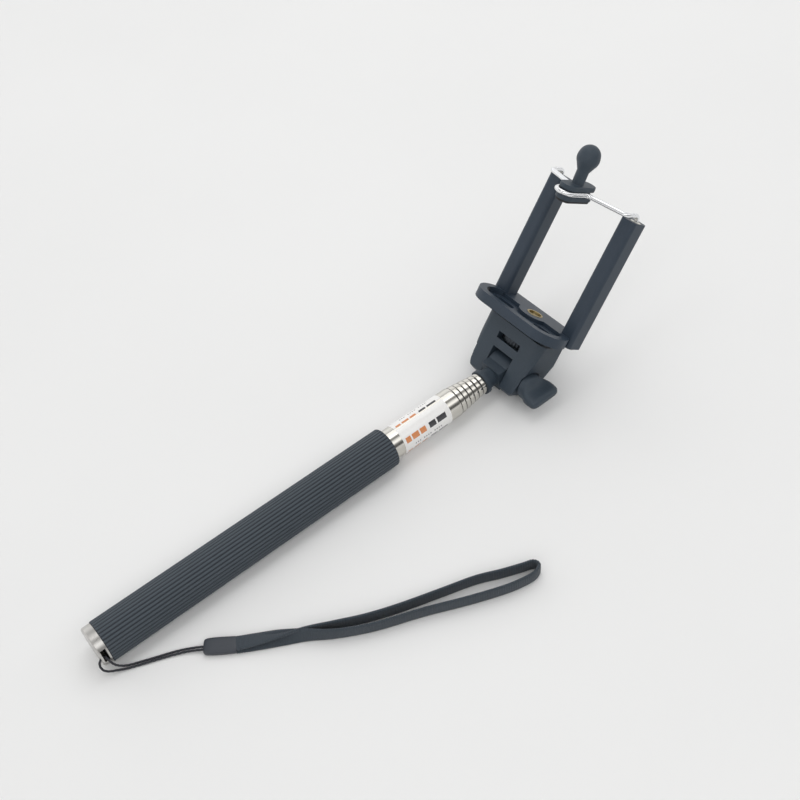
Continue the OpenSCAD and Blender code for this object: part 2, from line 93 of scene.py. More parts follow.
def place_camera():
    """A camera that looks at AIM from DISTANCE, turned by ROLL about its own line."""
    flat = math.cos(DOWNWARD)
    ahead = Vector((math.sin(HEADING) * flat, math.cos(HEADING) * flat, -math.sin(DOWNWARD)))
    level = Vector((math.cos(HEADING), -math.sin(HEADING), 0))
    upright = level.cross(ahead)
    right = level * math.cos(ROLL) + upright * math.sin(ROLL)
    up = upright * math.cos(ROLL) - level * math.sin(ROLL)
    lens = bpy.data.cameras.new("camera")
    lens.lens = FOCAL
    lens.sensor_width = SENSOR
    camera = bpy.data.objects.new("camera", lens)
    bpy.context.scene.collection.objects.link(camera)
    turn = Matrix((right, up, -ahead)).transposed().to_4x4()
    camera.matrix_world = Matrix.Translation(AIM - ahead * DISTANCE) @ turn
    bpy.context.scene.camera = camera
    return camera


camera = place_camera()
print("camera at", [round(v, 4) for v in camera.location], "lens", round(FOCAL, 1), "mm")

# %% [markdown]
# ## Placing things
# Round pieces of the stick are easiest to draw about their own middle line, and the head's
# pieces as if the posts stood upright. Two matrices carry such drawings to their places.

# %% Places
STICK_X = -1.3
STICK_HEIGHT = 10.0
CAP_END = -151.5
TILT_AXIS = 237.0
TILT = math.radians(53)

# Along the stick: z runs from the cap's end towards the head
along_stick = Matrix.Translation(Vector((STICK_X, CAP_END, STICK_HEIGHT)) * MM)
along_stick = along_stick @ Matrix.Rotation(-math.pi / 2, 4, "X")

# The head: z runs up along the posts, y towards the back, from the tilt axis
in_head = Matrix.Translation(Vector((STICK_X, CAP_END + TILT_AXIS, STICK_HEIGHT)) * MM)
in_head = in_head @ Matrix.Rotation(TILT - math.pi / 2, 4, "X")

# The clip: as the head, with the mounting stud on the z axis
STUD_BACK = 3.0
in_clip = in_head @ Matrix.Translation(Vector((0, STUD_BACK, 0)) * MM)

# The strap's drawing is measured from the cap's end, on the floor
on_floor = Matrix.Translation(Vector((STICK_X, CAP_END, 0)) * MM)
print("tilt axis at", [round(v / MM, 1) for v in in_head.translation])

# %% [markdown]
# ## Meshes from rings
# A tube, a turned part, a bent wire and a woven band are all rings of points joined in
# rows of four-sided faces. One builder makes them all, and what differs is only where the
# rings stand. Every mesh is drawn in millimetres and then carried to its place.


# %% Mesh builder
def loft(name, rings, place, looped=False):
    """A mesh through rings with equal numbers of points, closed by end faces or on itself."""
    rings = np.asarray(rings, float)
    count, sides = rings.shape[:2]
    faces = []
    for row in range(count if looped else count - 1):
        after = (row + 1) % count
        for k in range(sides):
            near = (k + 1) % sides
            faces.append((row * sides + k, row * sides + near, after * sides + near, after * sides + k))
    if not looped:
        faces.append(tuple(reversed(range(sides))))
        faces.append(tuple(range((count - 1) * sides, count * sides)))
    mesh = bpy.data.meshes.new(name)
    mesh.from_pydata((rings.reshape(-1, 3) * MM).tolist(), [], faces)
    mesh.transform(place)
    shell = bmesh.new()
    shell.from_mesh(mesh)
    bmesh.ops.recalc_face_normals(shell, faces=shell.faces)
    shell.to_mesh(mesh)
    shell.free()
    piece = bpy.data.objects.new(name, mesh)
    bpy.context.scene.collection.objects.link(piece)
    shade(piece)
    return piece


def shade(piece, crease=math.radians(38)):
    """Smooth shading, with edges sharper than the crease left crisp."""
    mesh = piece.data
    shell = bmesh.new()
    shell.from_mesh(mesh)
    for face in shell.faces:
        face.smooth = True
    for edge in shell.edges:
        edge.smooth = edge.calc_face_angle(0.0) < crease
    shell.to_mesh(mesh)
    shell.free()


def turned(name, profile, place, sides=96):
    """A piece as it comes off a lathe: an outline of (radius, height) turned about z."""
    angles = np.arange(sides) * 2 * math.pi / sides
    rings = [[(r * math.cos(a), r * math.sin(a), z) for r, z in profile] for a in angles]
    return loft(name, rings, place, looped=True)


def stands_for(piece, node, slot):
    """The piece takes the place of a solid and moves with that solid's body."""
    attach(piece, frame["nodes"][node]["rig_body"])
    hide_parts(node)
    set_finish(piece, slot)
    return piece


# %% [markdown]
# ## The telescoping tubes
# Seven thin steel tubes are drawn so that each slides in the one before it, and each mouth
# is rolled inwards to hold the next. A lathe outline with a small round shoulder at the
# mouth gives the bright stacked rims, and the wall is real, so an opened stick shows true
# edges. A cut just before the shoulder keeps the long straight part shaded as straight.

# %% Tubes
SECTIONS = 7
FIRST_MOUTH = 203.0
MOUTH_PITCH = 3.0
CAP_LENGTH = 4.3
REAR_PITCH = 6.0
WALL = 0.2
MOUTH_LIP = 0.75
TUBE_DIAMETER = 15.5
STEP_DOWN = 0.36
RUNNING_GAP = 0.04


def tube_radius(k):
    return TUBE_DIAMETER / 2 - (k - 1) * STEP_DOWN


def mouth(k):
    return FIRST_MOUTH + (k - 1) * MOUTH_PITCH


def draw_tube(k):
    """One section, with its rolled mouth."""
    start = CAP_LENGTH + (k - 1) * REAR_PITCH
    end = mouth(k)
    out = tube_radius(k)
    bore = out - WALL
    lip = tube_radius(k + 1) + RUNNING_GAP if k < SECTIONS else bore
    # Each is how far the surface has dropped, and how far from the mouth
    shoulder = [(0, -1.3), (0.01, -0.9), (0.04, -0.55), (0.1, -0.25), (0.18, -0.06), (0.26, 0)]
    profile = [(bore, start), (out, start), (out, start + 0.3), (out, end - 12), (out, end - 1.6)]
    profile += [(out - drop, end + z) for drop, z in shoulder]
    profile += [(lip, end), (lip, end - MOUTH_LIP), (bore, end - MOUTH_LIP)]
    return turned(f"drawn_tube_{k}", profile, along_stick)


tubes = []
for k in range(1, SECTIONS + 1):
    tubes.append(stands_for(draw_tube(k), f"tube_{k}", "steel_tube"))
print("tubes:", len(tubes), "tip at", mouth(SECTIONS), "mm from the cap's end")

# %% [markdown]
# ## The ribbed grip
# The handle's sleeve is soft rubber, extruded with fine ribs along its length and cut to
# size. Each rib is a rounded crest between narrow round grooves, so the ring is drawn as
# one wave repeated round the handle. The last half millimetre rolls in at both ends.

# %% Grip
GRIP_LENGTH = 157.0
GRIP_RADIUS = 10.0
RIBS = 36
GROOVE_WAVE = [0.0, 0.04, 0.12, 0.3, 0.46, 0.3, 0.12, 0.04]


def grip_ring(height, drop):
    """One cross cut of the sleeve at a height, with its crests lowered by drop."""
    points = []
    for i in range(RIBS * len(GROOVE_WAVE)):
        angle = i * 2 * math.pi / (RIBS * len(GROOVE_WAVE))
        r = GRIP_RADIUS - max(GROOVE_WAVE[i % len(GROOVE_WAVE)], drop)
        points.append((r * math.cos(angle), r * math.sin(angle), height))
    return points


def draw_grip():
    ends = [(0.0, 0.55), (0.15, 0.25), (0.5, 0.0)]
    rings = [grip_ring(CAP_LENGTH + z, drop) for z, drop in ends]
    rings += [grip_ring(CAP_LENGTH + z, 0.0) for z in np.linspace(8, GRIP_LENGTH - 8, 12)]
    rings += [grip_ring(CAP_LENGTH + GRIP_LENGTH - z, drop) for z, drop in reversed(ends)]
    inside = np.asarray(rings[0], float)
    inside[:, :2] *= tube_radius(1) / np.linalg.norm(inside[:, :2], axis=1, keepdims=True)
    far = inside.copy()
    far[:, 2] = CAP_LENGTH + GRIP_LENGTH
    near = inside.copy()
    near[:, 2] = CAP_LENGTH
    return loft("ribbed_grip", [*rings, far.tolist(), near.tolist()], along_stick, looped=True)


grip = stands_for(draw_grip(), "grip", "grip_rubber")
print("grip faces:", len(grip.data.polygons))

# %% [markdown]
# ## The paper label
# A printed paper label is rolled once round the widest tube and lies flat on it. It is a
# very thin shell with a narrow gap at its seam. A map laid over it, with one direction
# along the stick and one round it, lets the finish print its bars in the right place.

# %% Label
LABEL_START = 167.0
LABEL_LENGTH = 29.0
PAPER = 0.08
SEAM = math.radians(4)
LABEL_STEPS = 90


def draw_label():
    rings = []
    for i in range(LABEL_STEPS + 1):
        angle = -math.pi / 2 + SEAM + (2 * math.pi - 2 * SEAM) * i / LABEL_STEPS
        out = tube_radius(1) + PAPER
        ring = []
        for r in (tube_radius(1) + 0.01, out):
            heights = (LABEL_START, LABEL_START + LABEL_LENGTH)
            for z in heights if r < out else reversed(heights):
                ring.append((r * math.cos(angle), r * math.sin(angle), z))
        rings.append(ring)
    piece = loft("paper_label", rings, along_stick)
    lay_map(piece)
    return piece


def lay_map(piece):
    """A map with u along the stick and v round it, both from 0 to 1 over the label."""
    to_stick = along_stick.inverted()
    sheet = piece.data.uv_layers.new(name="printing")
    for loop in piece.data.loops:
        p = to_stick @ piece.data.vertices[loop.vertex_index].co
        turn = (math.atan2(p.y, p.x) + math.pi / 2) % (2 * math.pi)
        u = (p.z / MM - LABEL_START) / LABEL_LENGTH
        sheet.data[loop.index].uv = (u, turn / (2 * math.pi))


stands_for(draw_label(), "label", "paper")
print("label:", LABEL_LENGTH, "mm long, round a tube of", 2 * tube_radius(1), "mm")

# %% [markdown]
# ## Curves through chosen points
# A wire bend, a string and a strap are all laid along a line. A few chosen points are
# joined by a smooth curve that passes through each of them, and the direction at every
# point tells how to stand the ring there.


# %% Smooth lines
def smooth_line(points, steps):
    """The points joined by a smooth curve, with steps places between each pair."""
    points = np.asarray(points, float)
    last = len(points) - 1
    line = []
    for i in range(last):
        a = points[max(i - 1, 0)]
        b, c = points[i], points[i + 1]
        d = points[min(i + 2, last)]
        for t in np.arange(steps) / steps:
            bend = (2 * a - 5 * b + 4 * c - d) * t**2 + (3 * b - a - 3 * c + d) * t**3
            line.append(0.5 * (2 * b + (c - a) * t + bend))
    line.append(points[last])
    return np.array(line)


def headings(line):
    """The direction of travel at each point of a line."""
    before = np.vstack([line[:1], line[:-1]])
    after = np.vstack([line[1:], line[-1:]])
    steps = (after - before)[:, :3]
    return steps / np.linalg.norm(steps, axis=1, keepdims=True)


def travelled(line):
    """How far along the line each point is."""
    steps = np.linalg.norm(np.diff(line[:, :3], axis=0), axis=1)
    return np.concatenate([[0.0], np.cumsum(steps)])


def carried_sides(line, first):
    """A sideways direction at each point, carried along the line without twisting."""
    side = np.asarray(first, float)
    sides = []
    for ahead in headings(line):
        side = side - ahead * np.dot(side, ahead)
        side = side / np.linalg.norm(side)
        sides.append(side)
    return np.array(sides)


# %% [markdown]
# ## The string
# A thin cord runs from the strap's crimp into the side of the steel cap, out of its end and
# back, so two strands lie side by side. It is twisted from three plies, and a ring with
# three lobes that turns as it travels gives that rope-like edge.

# %% String
STRING_ROUTE = [
    (26.6, 37.6, 1.7), (22.8, 32.4, 1.2), (19.6, 26.8, 0.8), (17, 20.6, 0.8), (14.4, 14.4, 0.8),
    (12.3, 9.4, 0.9), (11.4, 6.4, 2.2), (10.9, 4.2, 4.8), (10.5, 2.9, 7.8), (9.7, 2.3, 10.4),
    (8.3, 1.9, 11), (7, 1, 9.8), (6.9, -0.8, 8.2), (7.7, -1.7, 6.2), (8.9, -1.3, 4.2),
    (10.2, 0.4, 3), (11.3, 3.2, 2), (12.9, 7.2, 1), (15.3, 13, 0.8), (18, 19.6, 0.8),
    (20.8, 26, 0.8), (24, 31.8, 1.2), (27.8, 36.8, 1.7),
]
STRING_DIAMETER = 1.1
LAY_LENGTH = 2.2
PLIES = 3


def draw_string():
    line = smooth_line(STRING_ROUTE, 12)
    ways = headings(line)
    sides = carried_sides(line, (0.5, 0.6, 0.62))
    far = travelled(line)
    rings = []
    for p, ahead, side, run in zip(line, ways, sides, far):
        other = np.cross(ahead, side)
        ring = []
        for a in np.arange(15) * 2 * math.pi / 15:
            lobe = 0.5 + 0.5 * math.cos(PLIES * a - 2 * math.pi * run / LAY_LENGTH)
            r = STRING_DIAMETER / 2 * (0.84 + 0.16 * lobe)
            ring.append(p + side * r * math.cos(a) + other * r * math.sin(a))
        rings.append(ring)
    return loft("twisted_string", rings, on_floor), line


string, string_line = draw_string()
stands_for(string, "strap_string", "cord")

# %% [markdown]
# ## The strap
# The wrist loop is a flat band woven on a narrow loom. It leaves the crimp lying flat and
# soon stands on its edge, which is how a stiff new band rests. The cross cut is a flat
# oval, rolled along the way, and small steps in its width and thickness follow the weft.

# %% Strap
STRAP_WIDTH = 7.2
STRAP_THICK = 1.7
WEFT_PITCH = 1.1
RINGS_PER_WEFT = 4
# Each point is x, y, height, and the roll: 0 lies flat and 90 stands on edge
STRAP_ROUTE = [
    (35.6, 48.6, 0.95, 0), (40, 55.6, 1.4, 15), (46.4, 65.4, 2.6, 40), (52.4, 73.4, 3.5, 70),
    (59.4, 81.6, 3.7, 85), (65.4, 90.8, 3.7, 90), (70.6, 100.8, 3.7, 90), (78, 118.5, 3.7, 90),
    (86.6, 136.6, 3.7, 90), (93, 151.8, 3.7, 90), (95.6, 160.6, 3.7, 90), (96.4, 166.6, 3.7, 90),
    (94.8, 170.6, 3.7, 90), (91.8, 169.8, 3.7, 90), (89.8, 165, 3.7, 90), (86, 156.2, 3.7, 90),
    (80.8, 145.4, 3.7, 90), (75.6, 130, 3.7, 90), (69.4, 112, 3.7, 90), (63.6, 98, 3.7, 90),
    (57, 86, 3.7, 85), (50.2, 75, 3.7, 70), (44.8, 66.2, 3.3, 35), (39.6, 56.2, 3, 12),
    (35.4, 48.8, 2.65, 0),
]


def band_section(points=20):
    """The band's cross cut as (across, thick) from -1 to 1: flat faces and round edges."""
    section = []
    for a in np.arange(points) * 2 * math.pi / points:
        across = math.copysign(abs(math.cos(a)) ** 0.5, math.cos(a))
        thick = math.copysign(abs(math.sin(a)) ** 0.7, math.sin(a))
        section.append((across, thick))
    return section


def draw_strap():
    line = smooth_line(STRAP_ROUTE, 48)
    far = travelled(line)
    wanted = np.arange(0, far[-1], WEFT_PITCH / RINGS_PER_WEFT)
    line = np.column_stack([np.interp(wanted, far, line[:, i]) for i in range(4)])
    ways = headings(line)
    rings = []
    for i, (p, ahead) in enumerate(zip(line, ways)):
        flat = np.array([-ahead[1], ahead[0], 0.0])
        flat = flat / np.linalg.norm(flat)
        up = np.cross(ahead, flat)
        roll = math.radians(p[3])
        wide = flat * math.cos(roll) + up * math.sin(roll)
        thin = np.cross(ahead, wide)
        swell = math.cos(2 * math.pi * i / RINGS_PER_WEFT)
        half = STRAP_WIDTH / 2 * (0.97 + 0.03 * swell)
        deep = STRAP_THICK / 2 * (0.92 + 0.08 * swell)
        rings.append([p[:3] + wide * half * a + thin * deep * t for a, t in band_section()])
    return loft("woven_strap", rings, on_floor), line[:, :3]


def lay_strap_map(piece, sides=20):
    """A map with u in millimetres along the band and v across it."""
    sheet = piece.data.uv_layers.new(name="weave")
    across = [a for a, t in band_section(sides)]
    for loop in piece.data.loops:
        row, k = divmod(loop.vertex_index, sides)
        along = row * WEFT_PITCH / RINGS_PER_WEFT
        sheet.data[loop.index].uv = (along, across[k] * STRAP_WIDTH / 2)


strap, strap_line = draw_strap()
lay_strap_map(strap)
stands_for(strap, "strap_loop", "webbing")

# %% [markdown]
# ## The crimp
# A short moulded sleeve joins the string to the strap. Its sides swell a little, its top is
# softly crowned, and the end towards the string is drawn in to a rounded nose.

# %% Ferrule
FERRULE_AT = Vector((31, 43, 0))
FERRULE_TURN = math.radians(53)
# Distance along the sleeve, half width, height
FERRULE_RINGS = [
    (-7.0, 2.2, 1.5), (-6.85, 2.9, 2.3), (-6.4, 3.4, 2.9), (-5.4, 3.75, 3.25), (-3, 3.95, 3.4),
    (0, 4.0, 3.4), (3, 3.95, 3.4), (6.2, 3.85, 3.35), (7.2, 3.75, 3.25), (7.6, 3.6, 3.05),
]


def draw_ferrule():
    rings = []
    for run, half, height in FERRULE_RINGS:
        ring = []
        for a in np.arange(32) * 2 * math.pi / 32:
            wide = math.copysign(abs(math.cos(a)) ** 0.42, math.cos(a)) * half
            tall = math.copysign(abs(math.sin(a)) ** 0.55, math.sin(a)) * height / 2
            ring.append((run, wide, 1.7 + tall))
        rings.append(ring)
    place = on_floor @ Matrix.Translation(FERRULE_AT * MM) @ Matrix.Rotation(FERRULE_TURN, 4, "Z")
    return loft("crimp_sleeve", rings, place)


ferrule = stands_for(draw_ferrule(), "strap_ferrule", "ferrule_plastic")
print("crimp sleeve faces:", len(ferrule.data.polygons))

# %% [markdown]
# ## The bent wire
# One length of chromed spring wire makes both legs, the two elbows over the posts and the
# loop that carries the jaw. Only half of it is drawn as arcs and straights, and the other
# half is its mirror image, as on the bending jig.

# %% Wire
WIRE_RADIUS = 1.15
LEG_GAP = 49.0
POST_BACK = 2.6
LEG_LOW = 33.0
ELBOW_HEIGHT = 94.9
ELBOW_RADIUS = 2.4
DROOP = math.radians(6)
CORNER_RADIUS = 3.0
CORNER_TURN = math.radians(73)
LOOP_RADIUS = 4.2
FIRST_CORNER = 7.4
WIRE_REACH = 31.5


def arc(centre, radius, start, end, steps):
    """Points along an arc, from one angle to the other."""
    return [
        (centre[0] + radius * math.cos(a), centre[1] + radius * math.sin(a))
        for a in np.linspace(start, end, steps + 1)
    ]


def wire_half():
    """The left half of the bent wire, from the foot of its leg to the middle of the loop."""
    side = LEG_GAP / 2
    turn = CORNER_TURN
    inward = (side - LOOP_RADIUS - 2 * CORNER_RADIUS * (1 - math.cos(turn))) / math.sin(turn)
    second = FIRST_CORNER + 2 * CORNER_RADIUS * math.sin(turn) + inward * math.cos(turn)
    flat = arc((CORNER_RADIUS - side, FIRST_CORNER), CORNER_RADIUS, math.pi, math.pi - turn, 10)
    flat += arc((-LOOP_RADIUS - CORNER_RADIUS, second), CORNER_RADIUS, -turn, 0, 10)
    flat += arc((0, WIRE_REACH - LOOP_RADIUS), LOOP_RADIUS, math.pi, math.pi / 2, 12)
    rise = ELBOW_HEIGHT + ELBOW_RADIUS * math.cos(DROOP)
    rise += ELBOW_RADIUS * (1 + math.sin(DROOP)) * math.tan(DROOP)
    leg = [(-side, POST_BACK, z) for z in np.linspace(LEG_LOW, ELBOW_HEIGHT - 1, 12)]
    elbow = arc((ELBOW_RADIUS, 0), ELBOW_RADIUS, math.pi, math.pi / 2 - DROOP, 10)
    leg += [(-side, POST_BACK - y, ELBOW_HEIGHT + z) for y, z in elbow]
    leg += [
        (x, POST_BACK - y * math.cos(DROOP), rise - y * math.sin(DROOP)) for x, y in flat
    ]
    return leg


def wire_rings(line, radius, sides, first):
    """Round rings that follow a line."""
    line = np.asarray(line, float)
    rings = []
    for p, ahead, side in zip(line, headings(line), carried_sides(line, first)):
        other = np.cross(ahead, side)
        angles = np.arange(sides) * 2 * math.pi / sides
        rings.append([p + radius * (side * math.cos(a) + other * math.sin(a)) for a in angles])
    return rings


half = wire_half()
mirrored = [(-x, y, z) for x, y, z in reversed(half[:-1])]
wire = loft("bent_wire", wire_rings(half + mirrored, WIRE_RADIUS, 20, (1, 0, 0)), in_clip)
stands_for(wire, "wire_yoke", "chrome_wire")
print("wire:", round(travelled(np.array(half + mirrored))[-1]), "mm from foot to foot")

# %% [markdown]
# ## The springs
# Inside each post a long coil of steel wire pushes the leg down and so pulls the jaw onto
# the phone. A coil is a line that goes round as it climbs, with its last turns lying flat.

# %% Springs
SPRING_FOOT = 34.8
SPRING_TOP = 90.5
COIL_WIRE = 0.26
COIL_RADIUS = 2.4 - COIL_WIRE
COILS = 26
STEPS_PER_COIL = 14


def coil_line(x):
    line = []
    for i in range(COILS * STEPS_PER_COIL + 1):
        share = i / (COILS * STEPS_PER_COIL)
        climb = min(max((share - 0.04) / 0.92, 0), 1)
        a = 2 * math.pi * COILS * share
        z = SPRING_FOOT + COIL_WIRE + climb * (SPRING_TOP - SPRING_FOOT - 2 * COIL_WIRE)
        line.append((x + COIL_RADIUS * math.cos(a), POST_BACK + COIL_RADIUS * math.sin(a), z))
    return line


for side, x in (("left", -LEG_GAP / 2), ("right", LEG_GAP / 2)):
    coil = loft(f"coil_{side}", wire_rings(coil_line(x), COIL_WIRE, 6, (1, 0, 0)), in_clip)
    stands_for(coil, f"spring_{side}", "steel_small")
    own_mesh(coil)

# %% [markdown]
# ## The knurled wheel
# The wheel that turns the mounting stud is a blackened steel disc with small grooves cut
# across its rim, so a fingertip can grip it. Its edges are broken with a small slope.

# %% Wheel
WHEEL_RADIUS = 9.0
WHEEL_LOW = 13.0
WHEEL_THICK = 3.2
KNURLS = 30
KNURL_WAVE = [0.0, 0.04, 0.3, 0.5, 0.3, 0.04]
STUD_RADIUS = 6.35 / 2


def draw_wheel():
    outline = [(0.0, 0.45), (0.4, 0.0), (WHEEL_THICK - 0.4, 0.0), (WHEEL_THICK, 0.45)]
    rings = []
    for height, drop in outline:
        ring = []
        for i in range(KNURLS * len(KNURL_WAVE)):
            a = i * 2 * math.pi / (KNURLS * len(KNURL_WAVE))
            r = WHEEL_RADIUS - max(KNURL_WAVE[i % len(KNURL_WAVE)], drop)
            ring.append((r * math.cos(a), r * math.sin(a), WHEEL_LOW + height))
        rings.append(ring)
    for height in (WHEEL_THICK, 0.0):
        inner = np.array(rings[0])
        inner[:, :2] *= STUD_RADIUS / np.linalg.norm(inner[:, :2], axis=1, keepdims=True)
        inner[:, 2] = WHEEL_LOW + height
        rings.append(inner.tolist())
    return loft("knurled_wheel", rings, in_clip, looped=True)


stands_for(draw_wheel(), "thumbwheel", "black_steel")
print("wheel:", KNURLS, "grooves")

# %% [markdown]
# ## The wing knob
# The knob that clamps the head is moulded as a round hub that flattens into a broad wing for
# finger and thumb. Cross cuts that change from a circle to a flat rounded bar give it the
# soft shape of the mould, with no hard line between the hub and the wing.

# %% Knob
# Distance from the head's middle, half width, half thickness, squareness
KNOB_CUTS = [
    (16.8, 6.5, 6.5, 1.0), (17.1, 6.9, 6.9, 1.0), (17.6, 7.0, 7.0, 1.0), (19.2, 7.0, 7.0, 1.0),
    (20.0, 7.0, 6.7, 0.95), (20.8, 7.3, 5.8, 0.85), (21.8, 7.9, 4.6, 0.75), (23.0, 8.4, 3.7, 0.65),
    (24.4, 8.7, 3.1, 0.55), (26.2, 8.7, 2.8, 0.5), (28.0, 8.6, 2.7, 0.5), (29.3, 8.3, 2.5, 0.5),
    (30.0, 7.7, 2.0, 0.55), (30.4, 6.7, 1.3, 0.6), (30.5, 5.6, 0.6, 0.7),
]


def flat_oval(half_wide, half_thick, square, points=48):
    """A cross cut between a circle (square = 1) and a rounded bar (square near 0.4)."""
    cut = []
    for a in np.arange(points) * 2 * math.pi / points:
        wide = math.copysign(abs(math.cos(a)) ** square, math.cos(a)) * half_wide
        thick = math.copysign(abs(math.sin(a)) ** square, math.sin(a)) * half_thick
        cut.append((wide, thick))
    return cut


def draw_knob():
    rings = []
    for out, wide, thick, square in KNOB_CUTS:
        rings.append([(out, w, h) for w, h in flat_oval(wide, thick, square)])
    return loft("clamp_knob", rings, Matrix.Translation(in_head.translation))


stands_for(draw_knob(), "wing_knob", "slate_plastic")
print("knob reaches", KNOB_CUTS[-1][0], "mm from the middle")

# %% [markdown]
# ## Softened edges
# A moulded part never has a knife edge: the mould's corners are rounded, and the light runs
# along them. A copy of each solid is welded, its flat areas are made whole, and every edge
# sharper than a set angle is cut back with a narrow round strip.


# %% Softening
def softened(node, width, sharp=32, strips=2):
    """A copy of a solid with rounded edges, which takes the solid's place."""
    source = frame["nodes"][node]
    mesh = source.data.copy()
    mesh.name = f"soft_{node}"
    shell = bmesh.new()
    shell.from_mesh(mesh)
    bmesh.ops.remove_doubles(shell, verts=shell.verts, dist=0.002 * MM)
    bmesh.ops.dissolve_limit(
        shell,
        angle_limit=math.radians(0.6),
        verts=shell.verts,
        edges=shell.edges,
        use_dissolve_boundaries=False,
    )
    limit = math.radians(sharp)
    edges = [e for e in shell.edges if len(e.link_faces) == 2 and e.calc_face_angle(0) > limit]
    bmesh.ops.bevel(
        shell,
        geom=edges,
        offset=width * MM,
        offset_type="OFFSET",
        segments=strips,
        profile=0.5,
        affect="EDGES",
        clamp_overlap=True,
    )
    shell.to_mesh(mesh)
    shell.free()
    piece = bpy.data.objects.new(mesh.name, mesh)
    bpy.context.scene.collection.objects.link(piece)
    shade(piece, math.radians(50))
    weighted = piece.modifiers.new("even_light", "WEIGHTED_NORMAL")
    weighted.keep_sharp = True
    slots = {entry["node"]: entry["material_slot"] for entry in frame["record"]["subparts"]}
    return stands_for(piece, node, slots[node])


EDGE_WIDTHS = {
    "end_cap": 0.12, "neck": 0.3, "hood": 0.45, "tilt_bolt": 0.2, "top_pad": 0.3,
    "clip_base": 0.35, "brass_insert": 0.2, "lip_pad": 0.15,
    "post_left": 0.4, "post_right": 0.4, "mount_stud": 0.3, "upper_jaw": 0.4, "jaw_pad": 0.2,
    "post_screws": 0.2,
}
for node, width in EDGE_WIDTHS.items():
    soft = softened(node, width)
    print(node, "softened by", width, "mm:", len(soft.data.polygons), "faces")

# %% [markdown]
# ## Shader maths
# A finish is easier to read as a sum than as a web of boxes. One small class wraps a
# socket, and adding or multiplying two of them makes the Math node that does it. One method
# makes every other node: its settings go in first, and then the values or links.


# %% Wrapped sockets
class Sum:
    """A value in a finish, which can be added, taken away and multiplied."""

    def __init__(self, finish, socket):
        self.finish = finish
        self.socket = socket

    def maths(self, operation, first, second):
        return self.finish.maths(operation, first, second)

    def __add__(self, other):
        return self.maths("ADD", self, other)

    def __radd__(self, other):
        return self.maths("ADD", other, self)

    def __sub__(self, other):
        return self.maths("SUBTRACT", self, other)

    def __rsub__(self, other):
        return self.maths("SUBTRACT", other, self)

    def __mul__(self, other):
        return self.maths("MULTIPLY", self, other)

    def __rmul__(self, other):
        return self.maths("MULTIPLY", other, self)

    def __gt__(self, other):
        return self.maths("GREATER_THAN", self, other)

    def __lt__(self, other):
        return self.maths("LESS_THAN", self, other)

    def wave(self):
        """The sine of this value."""
        return self.maths("SINE", self, 0.0)


class Finish:
    """The nodes of a material or of the world, being made."""

    def __init__(self, owner):
        self.owner = owner
        owner.use_nodes = True
        self.tree = owner.node_tree
        self.tree.nodes.clear()

    def node(self, kind, settings, sockets, output=0):
        """Any node: settings are set first, then values or links go to its sockets."""
        made = self.tree.nodes.new(kind)
        stops = settings.get("stops")
        for name, value in settings.items():
            if name != "stops":
                setattr(made, name, value)
        if stops:
            ramp = made.color_ramp
            for place, shade_of in stops[1:-1]:
                ramp.elements.new(place).color = (*shade_of, 1)
            for element, (place, shade_of) in zip(ramp.elements, stops):
                element.position = place
                element.color = (*shade_of, 1)
        for name, value in sockets.items():
            self.feed(made.inputs[name], value)
        return Sum(self, made.outputs[output])

    def maths(self, operation, first, second):
        return self.node("ShaderNodeMath", {"operation": operation}, {0: first, 1: second})

    def feed(self, socket, value):
        if isinstance(value, Sum):
            self.tree.links.new(value.socket, socket)
        elif socket.type == "RGBA" and len(value) == 3:
            socket.default_value = (*value, 1)
        else:
            socket.default_value = value

    def here(self, stretch=(1, 1, 1)):
        """The point on the object in metres, with each direction stretched."""
        point = self.node("ShaderNodeTexCoord", {}, {}, "Object")
        return self.node("ShaderNodeVectorMath", {"operation": "MULTIPLY"}, {0: point, 1: stretch})

    def noise(self, scale, stretch=(1, 1, 1), detail=3.0, rough=0.5):
        """Cloudy variation from 0 to 1, with scale in clouds for each metre."""
        sockets = {"Vector": self.here(stretch), "Scale": scale, "Detail": detail, "Roughness": rough}
        return self.node("ShaderNodeTexNoise", {}, sockets, 0)

    def between(self, factor, first, second):
        """A colour between two colours, in the Mix node's sockets for colours."""
        sockets = {0: factor, 6: first, 7: second}
        return self.node("ShaderNodeMix", {"data_type": "RGBA"}, sockets, 2)

    def mapped(self, name):
        """The two directions of a laid map."""
        flat = self.node("ShaderNodeUVMap", {"uv_map": name}, {})
        u = self.node("ShaderNodeSeparateXYZ", {}, {0: flat}, 0)
        v = self.node("ShaderNodeSeparateXYZ", {}, {0: flat}, 1)
        return u, v

    def surface(self, sockets, height=None, depth=0.0):
        """Closes the finish: one shader, with a bump of the given depth in metres."""
        if height is not None:
            bump = self.node("ShaderNodeBump", {}, {"Height": height, "Distance": depth, "Strength": 1.0})
            sockets = {**sockets, "Normal": bump}
        shader = self.node("ShaderNodeBsdfPrincipled", {}, sockets)
        end = self.tree.nodes.new("ShaderNodeOutputMaterial")
        self.feed(end.inputs["Surface"], shader)
        return self.owner


def new_finish(name):
    return Finish(bpy.data.materials.new(name))


# %% [markdown]
# ## Moulded plastic
# The head, the posts and the jaw are moulded in dark slate plastic with a fine spark-eroded
# grain. The grain is a very small bump, handling leaves slightly glossier patches, and a
# thin veil of dust greys the broad faces, so no face is one flat colour.


# %% Plastic finishes
def moulded(name, colour, dusty, gloss=0.42, grain=0.02):
    f = new_finish(name)
    patches = f.noise(45, detail=4.0)
    specks = f.noise(1500, detail=2.0)
    dust = (patches - 0.35) * 0.9 + (specks - 0.5) * 0.5
    base = f.between(dust, colour, dusty)
    rough = gloss + patches * 0.14 + specks * 0.05
    sockets = {"Base Color": base, "Roughness": rough, "Specular IOR Level": 0.42}
    return f.surface(sockets, specks, grain * MM)


